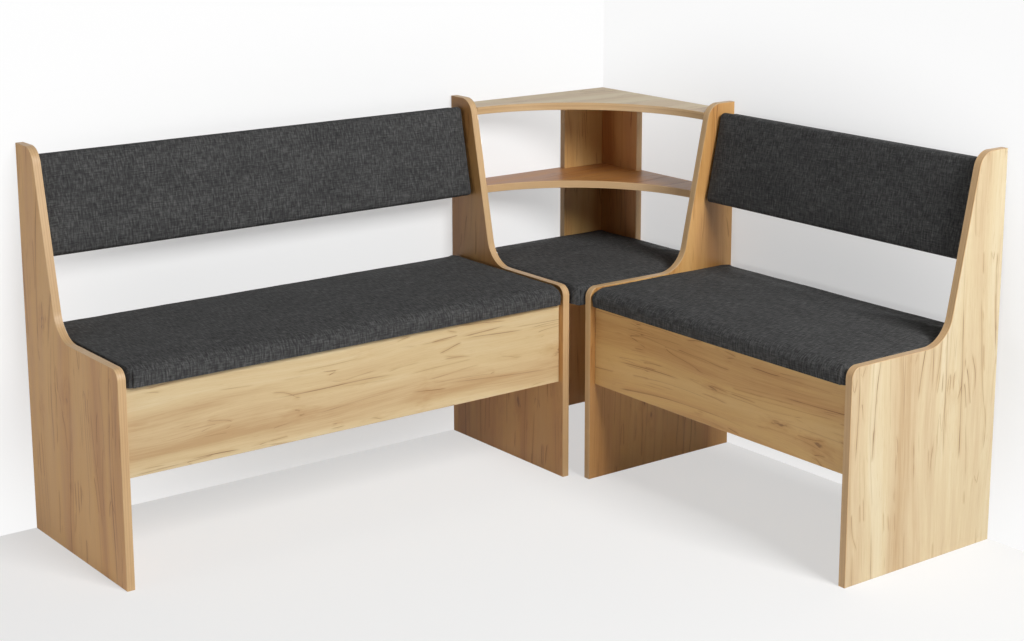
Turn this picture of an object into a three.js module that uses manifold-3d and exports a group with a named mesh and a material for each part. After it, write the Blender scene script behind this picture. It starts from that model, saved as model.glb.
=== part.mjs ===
// Corner storage bench: a long and a short box bench with lift-up seats, joined at a corner seat
// whose folded column and two concave shelves fill the corner between the backrests.
// Millimetres, +Z up. It is built from the room corner (walls at x = 0 and y = 0, floor at z = 0),
// then moved so that the origin is the middle of its bounding rectangle on the floor.

import * as THREE from 'three';
import { mergeVertices, toCreasedNormals } from 'three/addons/utils/BufferGeometryUtils.js';
import Module from 'manifold-3d';

const wasm = await Module();
wasm.setup();

// Overall sizes
const longWallLength = 1590;
const shortWallLength = 1300;
const totalHeight = 850;
const benchDepth = 440;

// Boards and the gaps between pieces
const boardThickness = 18;
const hiddenBoardThickness = 16;
const edgeEase = 0.8;
const fitGap = 0.3;
const cutOverrun = 2;

// Side panels: a sloping arm for the backrest runs down into the seat edge
const panelTopDepth = 78;
const panelFootDepth = 160;
const seatEdgeHeight = 459;
const panelTopRadius = 40;
const panelFootRadius = 70;
const panelNoseRadius = 24;

// Storage boxes under the seats
const apronBottom = 229;
const apronTop = 416;
const apronRecess = 15;
const boxBackSetback = 66;
const battenSize = 18;

// Seats: a board wrapped in padding
const seatPadHeight = 41;
const seatCrown = 4;
const seatFrontSetback = 3;
const seatWallGap = 6;
const seatEndGap = 2.5;
const seatNose = 24;
const seatEndNose = 12;
const seatFrontCornerRadius = 26;
const seatBackCornerRadius = 10;
const wrapThickness = 4;
const padTuck = 2;
const padTuckHeight = 5;
const leastCornerRadius = 2;

// Backrests: a padded board parallel to the sloping arms
const backRecess = 30;
const backTopDrop = 18;
const backHeight = 213;
const backPadHeight = 46;
const backCrown = 2;
const backNose = 9;
const backCornerRadius = 12;
const backEndGap = 2.5;

// Steel angles that hold the backrests
const bracketLeg = 20;
const bracketWidth = 16;
const bracketThickness = 2;
const bracketHoleRadius = 2.25;
const bracketEdgeDistance = 28;
const bracketSpacing = 85;

// Long rolled hinges of the seats, with a row of screw holes in each leaf
const hingeLeafWidth = 28;
const hingeSheet = 1;
const hingePinRadius = 1.25;
const hingeRunningGap = 0.2;
const knucklePitch = 30;
const knuckleEndGap = 0.4;
const knuckleClearance = 0.4;
const hingeEndMargin = 20;
const leafHoleRadius = 2;
const leafHoleEdgeDistance = 10;

// Cam fittings that pull the aprons to the side panels
const camRadius = 7.5;
const camDepth = 12.5;
const camEndDistance = 34;
const camEdgeDistance = 40;
const camSlotLength = 9;
const camSlotWidth = 2;
const camSlotDepth = 2;

// Corner unit: column, shelves and corner seat
const longCornerExtra = 21;
const shortCornerExtra = 32;
const columnLeftWidth = 140;
const columnRightWidth = 138;
const topShelfDrop = 21;
const shelfSpacing = 194;
const shelfArmWidth = 83;
const shelfArcRise = 115.6;
const cornerSeatFrontRadius = 30;
const cornerSeatNose = 14;
const cornerBattenHeight = 30;
const cornerBattenFrontSetback = 40;

// How finely round stretches are cut, in steps
const roundSteps = 12;
const shelfArcSteps = 44;
const padCornerSteps = 5;
const padNoseSteps = 4;
const padCrownShares = [0.2, 0.45, 0.75];
const knuckleSteps = 12;
const camSteps = 20;
const holeSteps = 10;
const creaseAngle = THREE.MathUtils.degToRad(32);

// Looks
const oak = { color: 0xc9a878, roughness: 0.55, metalness: 0 };
const hiddenOak = { color: 0xbf9c6c, roughness: 0.65, metalness: 0 };
const rawBoard = { color: 0xb29a78, roughness: 0.85, metalness: 0 };
const softwood = { color: 0xd8bd8e, roughness: 0.7, metalness: 0 };
const fabric = { color: 0x494b4f, roughness: 0.95, metalness: 0 };
const steel = { color: 0xb9bcc0, roughness: 0.35, metalness: 1 };
const castZinc = { color: 0x9a9ca0, roughness: 0.45, metalness: 1 };

// Heights and places that follow from the driving sizes
const lidBottom = apronTop + fitGap;
const barrelRadius = hingePinRadius + hingeRunningGap + hingeSheet;
const hingeHeight = lidBottom - fitGap - barrelRadius;
const hingeDepth = boxBackSetback - fitGap - barrelRadius;
const slopeRun = (panelFootDepth - panelTopDepth) / (totalHeight - seatEdgeHeight);
const slopeAngle = Math.atan(slopeRun);
const backTopHeight = totalHeight - backTopDrop;
const backBottomHeight = backTopHeight - backHeight;
const longCornerWidth = benchDepth + longCornerExtra;
const shortCornerWidth = benchDepth + shortCornerExtra;
const topShelfHeight = totalHeight - topShelfDrop;
const middleShelfHeight = topShelfHeight - shelfSpacing;

// A closed solid from any closed geometry, with its shared corners merged
function solidFrom(geometry) {
  geometry.deleteAttribute('normal');
  geometry.deleteAttribute('uv');
  const merged = mergeVertices(geometry);
  return new wasm.Manifold(new wasm.Mesh({
    numProp: 3,
    vertProperties: merged.attributes.position.array,
    triVerts: new Uint32Array(merged.index.array),
  }));
}

// A named mesh of a solid, with its own material
function meshFrom(name, solid, look) {
  const { vertProperties, triVerts } = solid.getMesh();
  const geometry = new THREE.BufferGeometry();
  geometry.setAttribute('position', new THREE.BufferAttribute(vertProperties, 3));
  geometry.setIndex(new THREE.BufferAttribute(triVerts, 1));
  const mesh = new THREE.Mesh(
    toCreasedNormals(geometry, creaseAngle),
    new THREE.MeshStandardMaterial(look),
  );
  mesh.name = name;
  return mesh;
}

// An outline in straight runs, with a round at each corner that has a radius
function roundedOutline(corners) {
  const points = [];
  corners.forEach(({ x, y, radius = 0 }, index) => {
    const corner = new THREE.Vector2(x, y);
    if (radius === 0) {
      points.push(corner);
      return;
    }
    const before = corners.at(index - 1);
    const after = corners[(index + 1) % corners.length];
    const back = new THREE.Vector2(before.x, before.y).sub(corner).normalize();
    const ahead = new THREE.Vector2(after.x, after.y).sub(corner).normalize();
    const halfAngle = Math.acos(back.dot(ahead)) / 2;
    const middle = back.clone().add(ahead).normalize();
    const centre = middle.multiplyScalar(radius / Math.sin(halfAngle)).add(corner);
    const tangentLength = radius / Math.tan(halfAngle);
    const first = back.clone().multiplyScalar(tangentLength).add(corner).sub(centre);
    const turn = Math.sign(ahead.cross(back)) * (Math.PI - 2 * halfAngle);
    for (let step = 0; step <= roundSteps; step += 1) {
      const spoke = first.clone().rotateAround(new THREE.Vector2(), turn * step / roundSteps);
      points.push(spoke.add(centre));
    }
  });
  return new THREE.Shape(points);
}

// A board of any outline in the XY plane, from z = 0 up, with both faces' edges eased
function boardGeometry(outline, thickness) {
  const geometry = new THREE.ExtrudeGeometry(outline, {
    depth: thickness - 2 * edgeEase,
    bevelThickness: edgeEase,
    bevelSize: edgeEase,
    bevelOffset: -edgeEase,
    bevelSegments: 1,
    curveSegments: shelfArcSteps / 2,
  });
  geometry.translate(0, 0, edgeEase);
  return geometry;
}

// A plain extrusion of an outline in the XY plane between two heights
function prism(outline, bottom, top) {
  const geometry = new THREE.ExtrudeGeometry(outline, {
    depth: top - bottom,
    bevelEnabled: false,
    curveSegments: knuckleSteps / 2,
  });
  geometry.translate(0, 0, bottom);
  return geometry;
}

// Turns an outline drawn in the XY plane so that its x becomes y, its y becomes z and it runs along X
function standAcross(geometry) {
  const basis = new THREE.Matrix4().makeBasis(
    new THREE.Vector3(0, 1, 0),
    new THREE.Vector3(0, 0, 1),
    new THREE.Vector3(1, 0, 0),
  );
  return geometry.applyMatrix4(basis);
}

// A plain box between two corners
function blockSolid(from, to) {
  const size = new THREE.Vector3().subVectors(to, from);
  const geometry = new THREE.BoxGeometry(size.x, size.y, size.z);
  geometry.translate(from.x + size.x / 2, from.y + size.y / 2, from.z + size.z / 2);
  return solidFrom(geometry);
}

// A straight board between two corners, with the edges of its two large faces eased
function boardSolid(from, to) {
  const size = new THREE.Vector3().subVectors(to, from);
  const thickness = Math.min(size.x, size.y, size.z);
  const width = thickness === size.x ? size.z : size.x;
  const height = thickness === size.z || thickness === size.x ? size.y : size.z;
  const rectangle = roundedOutline([
    { x: -width / 2, y: -height / 2 },
    { x: width / 2, y: -height / 2 },
    { x: width / 2, y: height / 2 },
    { x: -width / 2, y: height / 2 },
  ]);
  const geometry = boardGeometry(rectangle, thickness);
  geometry.translate(0, 0, -thickness / 2);
  if (thickness === size.x) {
    geometry.rotateY(Math.PI / 2);
  } else if (thickness === size.y) {
    geometry.rotateX(Math.PI / 2);
  }
  geometry.translate(from.x + size.x / 2, from.y + size.y / 2, from.z + size.z / 2);
  return solidFrom(geometry);
}

// A cylinder along Y, from the given face towards +Y when its length is positive
function cylinderAlongY(radius, length, steps) {
  const geometry = new THREE.CylinderGeometry(radius, radius, Math.abs(length), steps);
  geometry.translate(0, length / 2, 0);
  return geometry;
}

// The points of a rectangle with rounded corners, from the left front corner onwards.
// radii holds the left front, right front, right back and left back corner.
function planPoints({ left, front, right, back }, radii) {
  const centres = [
    [left + radii[0], front + radii[0]],
    [right - radii[1], front + radii[1]],
    [right - radii[2], back - radii[2]],
    [left + radii[3], back - radii[3]],
  ];
  return centres.flatMap(([x, y], corner) => {
    const points = [];
    for (let step = 0; step <= padCornerSteps; step += 1) {
      const angle = Math.PI + (corner + step / padCornerSteps) * Math.PI / 2;
      points.push(new THREE.Vector2(
        x + radii[corner] * Math.cos(angle),
        y + radii[corner] * Math.sin(angle),
      ));
    }
    return points;
  });
}

// The same plan drawn in on all sides
function insetPlan({ left, front, right, back, radii }, inset) {
  return {
    left: left + inset,
    front: front + inset,
    right: right - inset,
    back: back - inset,
    radii: radii.map((radius) => Math.max(radius - inset, leastCornerRadius)),
  };
}

// The foam and cover of a seat or backrest, from z = 0 up: the side is drawn in at the bottom,
// rises straight, rolls over with a nose of its own on each side, and the top is crowned.
function paddingSolid(plan, { height, crown, noses, noseHeight }) {
  const spineInset = Math.min(plan.right - plan.left, plan.back - plan.front) / 2;
  const rings = [];

  function addRing(z, noseShare, spineShare, tuck = 0) {
    const inset = (nose) => THREE.MathUtils.lerp(nose * noseShare + tuck, spineInset, spineShare);
    const edges = {
      left: plan.left + inset(noses.left),
      front: plan.front + inset(noses.front),
      right: plan.right - inset(noses.right),
      back: plan.back - inset(noses.back),
    };
    const least = Math.min(...Object.values(noses));
    const radii = plan.radii.map(
      (radius) => Math.max(radius - least * noseShare, leastCornerRadius) * (1 - spineShare),
    );
    rings.push(planPoints(edges, radii).map((point) => [point.x, point.y, z]));
  }

  addRing(0, 0, 0, padTuck);
  addRing(padTuckHeight, 0, 0);
  for (let step = 0; step <= padNoseSteps; step += 1) {
    const angle = step / padNoseSteps * Math.PI / 2;
    addRing(height - noseHeight * (1 - Math.sin(angle)), 1 - Math.cos(angle), 0);
  }
  for (const share of padCrownShares) {
    addRing(height + crown * Math.sin(share * Math.PI / 2), 1, share);
  }

  const perRing = rings[0].length;
  const middle = [(plan.left + plan.right) / 2, (plan.front + plan.back) / 2];
  const points = [...rings.flat(), [...middle, 0], [...middle, height + crown]];
  const bottomMiddle = points.length - 2;
  const topMiddle = points.length - 1;
  const lastRing = perRing * (rings.length - 1);
  const faces = [];
  for (let index = 0; index < perRing; index += 1) {
    const next = (index + 1) % perRing;
    faces.push(bottomMiddle, next, index);
    faces.push(topMiddle, lastRing + index, lastRing + next);
    for (let ring = 0; ring < rings.length - 1; ring += 1) {
      const low = ring * perRing;
      const high = low + perRing;
      faces.push(low + index, low + next, high + next);
      faces.push(low + index, high + next, high + index);
    }
  }
  const geometry = new THREE.BufferGeometry();
  geometry.setAttribute('position', new THREE.Float32BufferAttribute(points.flat(), 3));
  geometry.setIndex(faces);
  return solidFrom(geometry);
}

// A board and the padding wrapped round its face and edges; cutAt gives what a neighbour takes
// out of both, grown by the clearance it is called with.
function paddedBoard(plan, padding, cutAt) {
  const boardPlan = insetPlan(plan, wrapThickness);
  const pocketPlan = insetPlan(plan, wrapThickness - fitGap);
  const boardOutline = new THREE.Shape(planPoints(boardPlan, boardPlan.radii));
  const pocketOutline = new THREE.Shape(planPoints(pocketPlan, pocketPlan.radii));
  let board = solidFrom(prism(boardOutline, 0, hiddenBoardThickness));
  let pocket = solidFrom(prism(pocketOutline, -cutOverrun, hiddenBoardThickness + fitGap));
  let cushion = paddingSolid(plan, padding);
  if (cutAt) {
    board = board.subtract(cutAt(wrapThickness));
    pocket = pocket.subtract(cutAt(wrapThickness - fitGap));
    cushion = cushion.subtract(cutAt(0));
  }
  return { board, cushion: cushion.subtract(pocket) };
}

// Side panel, from x = 0 along +X, with the wall at y = 0 and the front at -benchDepth
function sidePanelSolid() {
  const outline = roundedOutline([
    { x: 0, y: 0 },
    { x: 0, y: totalHeight },
    { x: -panelTopDepth, y: totalHeight, radius: panelTopRadius },
    { x: -panelFootDepth, y: seatEdgeHeight, radius: panelFootRadius },
    { x: -benchDepth, y: seatEdgeHeight, radius: panelNoseRadius },
    { x: -benchDepth, y: 0 },
  ]);
  return solidFrom(standAcross(boardGeometry(outline, boardThickness)));
}

// One leaf of a rolled hinge, centred on its axis (X), its flat pointing to +Y with its outer
// face up. The sheet rolls round the pin in a barrel, and the barrel is cut away at every other
// knuckle, the even ones or the odd ones, for the knuckles of the other leaf. Screw holes stand
// behind the middle of every other knuckle.
function hingeLeafSolid(knuckleCount, keepsEven) {
  const boreRadius = hingePinRadius + hingeRunningGap;
  const sheetAngle = Math.asin(boreRadius / barrelRadius);
  const outline = new THREE.Shape();
  outline.moveTo(hingeLeafWidth, boreRadius);
  outline.lineTo(hingeLeafWidth, barrelRadius);
  outline.absarc(0, 0, barrelRadius, Math.PI / 2, 2 * Math.PI + sheetAngle, false);
  outline.holes.push(new THREE.Path().absarc(0, 0, boreRadius, 0, 2 * Math.PI, true));
  const length = knuckleCount * knucklePitch;
  let leaf = solidFrom(standAcross(prism(outline, -length / 2, length / 2)));
  const reach = barrelRadius + cutOverrun;
  for (let index = keepsEven ? 1 : 0; index < knuckleCount; index += 2) {
    const start = index * knucklePitch - length / 2;
    leaf = leaf.subtract(blockSolid(
      new THREE.Vector3(start - knuckleEndGap / 2, -reach, -reach),
      new THREE.Vector3(start + knucklePitch + knuckleEndGap / 2, barrelRadius + knuckleClearance, reach),
    ));
  }
  for (let index = 0; index < knuckleCount; index += 2) {
    const hole = new THREE.CylinderGeometry(leafHoleRadius, leafHoleRadius, 2 * reach, holeSteps);
    hole.rotateX(Math.PI / 2);
    hole.translate((index + 1 / 2) * knucklePitch - length / 2, hingeLeafWidth - leafHoleEdgeDistance, 0);
    leaf = leaf.subtract(solidFrom(hole));
  }
  return leaf;
}

// The hinge of one seat, centred at the group's origin on its axis: the moving leaf lies under
// the seat board and points to the wall, the fixed leaf hangs down on the back of the box.
function makeHinge(bench, seatLength) {
  const fitting = seatLength - 2 * hingeEndMargin;
  const knuckleCount = 2 * Math.floor((fitting / knucklePitch - 1) / 2) + 1;
  const moving = meshFrom(`${bench}_hinge_moving_leaf`, hingeLeafSolid(knuckleCount, false), steel);
  const fixed = meshFrom(`${bench}_hinge_fixed_leaf`, hingeLeafSolid(knuckleCount, true), steel);
  fixed.quaternion.setFromRotationMatrix(new THREE.Matrix4().makeBasis(
    new THREE.Vector3(-1, 0, 0),
    new THREE.Vector3(0, 0, -1),
    new THREE.Vector3(0, -1, 0),
  ));
  const pinLength = knuckleCount * knucklePitch;
  const pinGeometry = new THREE.CylinderGeometry(
    hingePinRadius, hingePinRadius, pinLength, knuckleSteps,
  );
  pinGeometry.rotateZ(Math.PI / 2);
  const pin = meshFrom(`${bench}_hinge_pin`, solidFrom(pinGeometry), steel);
  const hinge = new THREE.Group();
  hinge.add(moving, fixed, pin);
  return hinge;
}

// Steel angle in the corner of the X and Y axes, standing along Z, with a hole in each leg
function bracketSolid() {
  const outline = roundedOutline([
    { x: 0, y: 0 },
    { x: bracketLeg, y: 0 },
    { x: bracketLeg, y: bracketThickness },
    { x: bracketThickness, y: bracketThickness },
    { x: bracketThickness, y: bracketLeg },
    { x: 0, y: bracketLeg },
  ]);
  const holeCentre = (bracketLeg + bracketThickness) / 2;
  const holeLength = bracketThickness + 2 * cutOverrun;
  const towardsBoard = cylinderAlongY(bracketHoleRadius, holeLength, holeSteps);
  towardsBoard.translate(holeCentre, -cutOverrun, bracketWidth / 2);
  const towardsPanel = cylinderAlongY(bracketHoleRadius, holeLength, holeSteps);
  towardsPanel.rotateZ(-Math.PI / 2);
  towardsPanel.translate(-cutOverrun, holeCentre, bracketWidth / 2);
  return solidFrom(prism(outline, 0, bracketWidth))
    .subtract(solidFrom(towardsBoard))
    .subtract(solidFrom(towardsPanel));
}

// Cam disc with its face at y = 0 and its body towards -Y, slotted for a screwdriver
function camSolid() {
  const slot = blockSolid(
    new THREE.Vector3(-camSlotLength / 2, -camSlotDepth, -camSlotWidth / 2),
    new THREE.Vector3(camSlotLength / 2, cutOverrun, camSlotWidth / 2),
  );
  return solidFrom(cylinderAlongY(camRadius, -camDepth, camSteps)).subtract(slot);
}

// Apron with a blind bore for each cam, and the cams in them
function makeApron(bench, ends, innerLength) {
  const rearFace = -(benchDepth - apronRecess - boardThickness);
  const places = ends.flatMap((end, index) => [
    { name: `${bench}_apron_cam_${end}_lower`, fromStart: index === 0, z: apronBottom + camEdgeDistance },
    { name: `${bench}_apron_cam_${end}_upper`, fromStart: index === 0, z: apronTop - camEdgeDistance },
  ]);
  let apron = boardSolid(
    new THREE.Vector3(boardThickness + fitGap, rearFace - boardThickness, apronBottom),
    new THREE.Vector3(boardThickness + innerLength - fitGap, rearFace, apronTop),
  );
  const cams = new THREE.Group();
  for (const { name, fromStart, z } of places) {
    const x = boardThickness + (fromStart ? camEndDistance : innerLength - camEndDistance);
    const bore = cylinderAlongY(camRadius + fitGap, -(camDepth + fitGap), camSteps);
    const mouth = cylinderAlongY(camRadius + fitGap, cutOverrun, camSteps);
    bore.translate(x, rearFace, z);
    mouth.translate(x, rearFace, z);
    apron = apron.subtract(solidFrom(bore).add(solidFrom(mouth)));
    const cam = meshFrom(name, camSolid(), castZinc);
    cam.position.set(x, rearFace, z);
    cams.add(cam);
  }
  cams.add(meshFrom(`${bench}_apron`, apron, oak));
  return cams;
}

// The closed box between the side panels: back panel, bottom panel and the battens that carry it
function makeBox(bench, ends, innerLength) {
  const start = boardThickness + fitGap;
  const stop = boardThickness + innerLength - fitGap;
  const backFront = -(boxBackSetback + hiddenBoardThickness);
  const apronRear = -(benchDepth - apronRecess - boardThickness);
  const bottomHeight = apronBottom + battenSize + fitGap;
  const box = new THREE.Group();
  box.add(meshFrom(`${bench}_box_back`, boardSolid(
    new THREE.Vector3(start, backFront, apronBottom),
    new THREE.Vector3(stop, -boxBackSetback, apronTop),
  ), hiddenOak));
  box.add(meshFrom(`${bench}_box_bottom`, boardSolid(
    new THREE.Vector3(start, apronRear + fitGap, bottomHeight),
    new THREE.Vector3(stop, backFront - fitGap, bottomHeight + hiddenBoardThickness),
  ), hiddenOak));
  ends.forEach((end, index) => {
    const x = index === 0 ? start : stop - battenSize;
    box.add(meshFrom(`${bench}_bottom_batten_${end}`, blockSolid(
      new THREE.Vector3(x, apronRear + fitGap, apronBottom),
      new THREE.Vector3(x + battenSize, backFront - fitGap, apronBottom + battenSize),
    ), softwood));
  });
  return box;
}

// The lift-up seat of one bench with its hinge
function makeSeat(bench, innerLength) {
  const plan = {
    left: boardThickness + seatEndGap,
    front: -(benchDepth - seatFrontSetback),
    right: boardThickness + innerLength - seatEndGap,
    back: -seatWallGap,
    radii: [seatFrontCornerRadius, seatFrontCornerRadius, seatBackCornerRadius, seatBackCornerRadius],
  };
  const { board, cushion } = paddedBoard(plan, {
    height: seatPadHeight,
    crown: seatCrown,
    noses: { left: seatEndNose, front: seatNose, right: seatEndNose, back: seatNose },
    noseHeight: seatNose,
  });
  const seat = new THREE.Group();
  for (const mesh of [
    meshFrom(`${bench}_seat_board`, board, rawBoard),
    meshFrom(`${bench}_seat_cushion`, cushion, fabric),
  ]) {
    mesh.position.z = lidBottom;
    seat.add(mesh);
  }
  const hinge = makeHinge(bench, plan.right - plan.left);
  hinge.position.set(boardThickness + innerLength / 2, -hingeDepth, hingeHeight);
  seat.add(hinge);
  return seat;
}

// The padded backrest and its angles, turned with the slope of the arms; the group's origin is
// the lower rear edge of the backrest's board.
function makeBackrest(bench, ends, innerLength) {
  const backLength = backHeight / Math.cos(slopeAngle);
  const plan = {
    left: boardThickness + backEndGap,
    front: 0,
    right: boardThickness + innerLength - backEndGap,
    back: backLength,
    radii: [backCornerRadius, backCornerRadius, backCornerRadius, backCornerRadius],
  };
  const { board, cushion } = paddedBoard(plan, {
    height: backPadHeight,
    crown: backCrown,
    noses: { left: backNose, front: backNose, right: backNose, back: backNose },
    noseHeight: backNose,
  });
  const backrest = new THREE.Group();
  for (const mesh of [
    meshFrom(`${bench}_back_board`, board, rawBoard),
    meshFrom(`${bench}_back_cushion`, cushion, fabric),
  ]) {
    mesh.rotation.x = Math.PI / 2;
    backrest.add(mesh);
  }
  ends.forEach((end, index) => {
    ['lower', 'upper'].forEach((level, step) => {
      const bracket = meshFrom(`${bench}_back_bracket_${end}_${level}`, bracketSolid(), steel);
      bracket.position.z = bracketEdgeDistance + step * bracketSpacing;
      bracket.position.y = fitGap;
      bracket.position.x = boardThickness + (index === 0 ? fitGap : innerLength - fitGap);
      bracket.rotation.z = index === 0 ? 0 : Math.PI / 2;
      backrest.add(bracket);
    });
  });
  const faceDepth = panelTopDepth - backRecess + slopeRun * (totalHeight - backBottomHeight);
  backrest.rotation.x = -slopeAngle;
  backrest.position.set(
    0,
    backPadHeight * Math.cos(slopeAngle) - faceDepth,
    backBottomHeight - backPadHeight * Math.sin(slopeAngle),
  );
  return backrest;
}

// One bench along +X from its first end, with the wall at y = 0; ends names its two ends in order
function makeBench(bench, length, ends) {
  const innerLength = length - 2 * boardThickness;
  const group = new THREE.Group();
  ends.forEach((end, index) => {
    const side = meshFrom(`${bench}_${end}_side`, sidePanelSolid(), oak);
    side.position.x = index === 0 ? 0 : length - boardThickness;
    group.add(side);
  });
  group.add(
    makeApron(bench, ends, innerLength),
    makeBox(bench, ends, innerLength),
    makeSeat(bench, innerLength),
    makeBackrest(bench, ends, innerLength),
  );
  return group;
}

// The room of the folded column in the corner, grown by a clearance, between two heights
function columnRoom(clearance, bottom, top) {
  const leftReach = -(columnLeftWidth + clearance);
  const rightReach = -(boardThickness + fitGap + columnRightWidth + clearance);
  const face = -(boardThickness + clearance);
  const outline = roundedOutline([
    { x: cutOverrun, y: cutOverrun },
    { x: leftReach, y: cutOverrun },
    { x: leftReach, y: face },
    { x: face, y: face },
    { x: face, y: rightReach },
    { x: cutOverrun, y: rightReach },
  ]);
  return solidFrom(prism(outline, bottom, top));
}

// A shelf with a concave front: its arms are as deep as the side panels' arms, and one arc joins them
function shelfSolid(isNotched) {
  const longEnd = longCornerWidth - fitGap;
  const shortEnd = shortCornerWidth - fitGap;
  const longTip = new THREE.Vector2(-longEnd, -shelfArmWidth);
  const shortTip = new THREE.Vector2(-shelfArmWidth, -shortEnd);
  const chord = new THREE.Vector2().subVectors(shortTip, longTip);
  const radius = chord.lengthSq() / 8 / shelfArcRise + shelfArcRise / 2;
  const outward = new THREE.Vector2(chord.y, -chord.x).setLength(radius - shelfArcRise);
  const centre = new THREE.Vector2().addVectors(longTip, shortTip).divideScalar(2).add(outward);
  const startAngle = Math.atan2(shortTip.y - centre.y, shortTip.x - centre.x);
  const endAngle = Math.atan2(longTip.y - centre.y, longTip.x - centre.x);
  const outline = new THREE.Shape();
  outline.moveTo(-longEnd, 0);
  outline.lineTo(0, 0);
  outline.lineTo(0, -shortEnd);
  outline.absarc(centre.x, centre.y, radius, startAngle, endAngle, false);
  const shelf = solidFrom(boardGeometry(outline, boardThickness));
  return isNotched ? shelf.subtract(columnRoom(fitGap, -cutOverrun, boardThickness + cutOverrun)) : shelf;
}

// Column, shelves and corner seat between the two inner side panels
function makeCorner() {
  const corner = new THREE.Group();
  const columnTop = topShelfHeight - boardThickness - fitGap;
  corner.add(meshFrom('column_left_board', boardSolid(
    new THREE.Vector3(-columnLeftWidth, -boardThickness, 0),
    new THREE.Vector3(0, 0, columnTop),
  ), oak));
  corner.add(meshFrom('column_right_board', boardSolid(
    new THREE.Vector3(-boardThickness, -(boardThickness + fitGap + columnRightWidth), 0),
    new THREE.Vector3(0, -(boardThickness + fitGap), columnTop),
  ), oak));

  const topShelf = meshFrom('top_shelf', shelfSolid(false), oak);
  topShelf.position.z = topShelfHeight - boardThickness;
  const middleShelf = meshFrom('middle_shelf', shelfSolid(true), oak);
  middleShelf.position.z = middleShelfHeight - boardThickness;
  corner.add(topShelf, middleShelf);

  const plan = {
    left: -(longCornerWidth - seatEndGap),
    front: -(shortCornerWidth - seatEndGap),
    right: -seatEndGap,
    back: -seatEndGap,
    radii: [cornerSeatFrontRadius, seatBackCornerRadius, seatBackCornerRadius, seatBackCornerRadius],
  };
  const { board, cushion } = paddedBoard(plan, {
    height: seatPadHeight,
    crown: seatCrown,
    noses: { left: cornerSeatNose, front: cornerSeatNose, right: cornerSeatNose, back: cornerSeatNose },
    noseHeight: seatNose,
  }, (clearance) => columnRoom(
    seatEndGap + clearance,
    -cutOverrun,
    seatPadHeight + seatCrown + cutOverrun,
  ));
  for (const mesh of [
    meshFrom('corner_seat_board', board, rawBoard),
    meshFrom('corner_seat_cushion', cushion, fabric),
  ]) {
    mesh.position.z = lidBottom;
    corner.add(mesh);
  }

  const battenFront = -(benchDepth - cornerBattenFrontSetback);
  const battenBottom = apronTop - cornerBattenHeight;
  corner.add(meshFrom('corner_batten_long_side', blockSolid(
    new THREE.Vector3(-(longCornerWidth - fitGap), battenFront, battenBottom),
    new THREE.Vector3(-(longCornerWidth - fitGap - battenSize), -boardThickness, apronTop),
  ), softwood));
  corner.add(meshFrom('corner_batten_short_side', blockSolid(
    new THREE.Vector3(battenFront, -(shortCornerWidth - fitGap), battenBottom),
    new THREE.Vector3(-boardThickness, -(shortCornerWidth - fitGap - battenSize), apronTop),
  ), softwood));
  return corner;
}

const longBench = makeBench('long', longWallLength - longCornerWidth, ['outer', 'inner']);
longBench.position.x = -longWallLength;

const shortBench = makeBench('short', shortWallLength - shortCornerWidth, ['inner', 'outer']);
shortBench.rotation.z = -Math.PI / 2;
shortBench.position.y = -shortCornerWidth;

const cornerBench = new THREE.Group();
cornerBench.name = 'corner_storage_bench';
cornerBench.add(longBench, shortBench, makeCorner());
cornerBench.position.set(longWallLength / 2, shortWallLength / 2, 0);
cornerBench.updateMatrixWorld(true);

export default cornerBench;
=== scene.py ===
import bmesh
import bpy
import math
from functools import partial
from mathutils import Matrix, Vector, noise


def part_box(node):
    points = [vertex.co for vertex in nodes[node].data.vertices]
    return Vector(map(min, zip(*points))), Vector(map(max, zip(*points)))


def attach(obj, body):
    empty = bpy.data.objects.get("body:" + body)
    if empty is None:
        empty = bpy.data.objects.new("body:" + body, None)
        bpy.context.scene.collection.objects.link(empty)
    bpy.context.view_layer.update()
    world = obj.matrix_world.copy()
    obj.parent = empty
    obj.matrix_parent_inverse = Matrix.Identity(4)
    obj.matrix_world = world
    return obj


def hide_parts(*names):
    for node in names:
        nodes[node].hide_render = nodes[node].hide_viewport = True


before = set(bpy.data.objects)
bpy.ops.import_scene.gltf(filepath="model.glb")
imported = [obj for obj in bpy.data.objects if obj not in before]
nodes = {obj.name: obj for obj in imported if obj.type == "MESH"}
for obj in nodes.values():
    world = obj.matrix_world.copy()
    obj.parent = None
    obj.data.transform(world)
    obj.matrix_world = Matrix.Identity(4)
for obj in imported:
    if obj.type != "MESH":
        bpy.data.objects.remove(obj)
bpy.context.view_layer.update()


# The view: a camera at standing height in front of the corner, looking slightly down,
# on a long lens, with a low shift so that the benches fill the frame.
def place_object(name, data):
    made = bpy.data.objects.new(name, data)
    bpy.context.scene.collection.objects.link(made)
    return made


def new_mesh(name, points, faces=()):
    mesh = bpy.data.meshes.new(name)
    mesh.from_pydata(points, [], faces)
    return mesh


camera_tilt = 12.0545
camera_turn = 37.4754
camera_data = bpy.data.cameras.new("camera")
camera_data.sensor_width = 36
camera_data.lens = 67.521
camera_data.shift_x = -0.01527
camera_data.shift_y = -0.09814
camera = place_object("camera", camera_data)
camera.location = (-2.3485, -3.1310, 1.5279)
camera.rotation_euler = (math.radians(90 - camera_tilt), 0, math.radians(-camera_turn))
bpy.context.scene.camera = camera
bpy.context.scene.view_settings.view_transform = "Standard"


# The room: a matt white floor and two white walls that keep a soft shadow, a white surround, a
# wide key lamp in front and weak low ones at the left and behind. The walls show only from the
# room's side and let light through.
def feed(tree, node, given):
    """Links or sets the inputs of a node; a list goes into one input, item by item."""
    for key, value in given.items():
        for item in value if isinstance(value, list) else [value]:
            if isinstance(item, bpy.types.NodeSocket):
                tree.links.new(item, node.inputs[key])
            else:
                node.inputs[key].default_value = item


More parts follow.
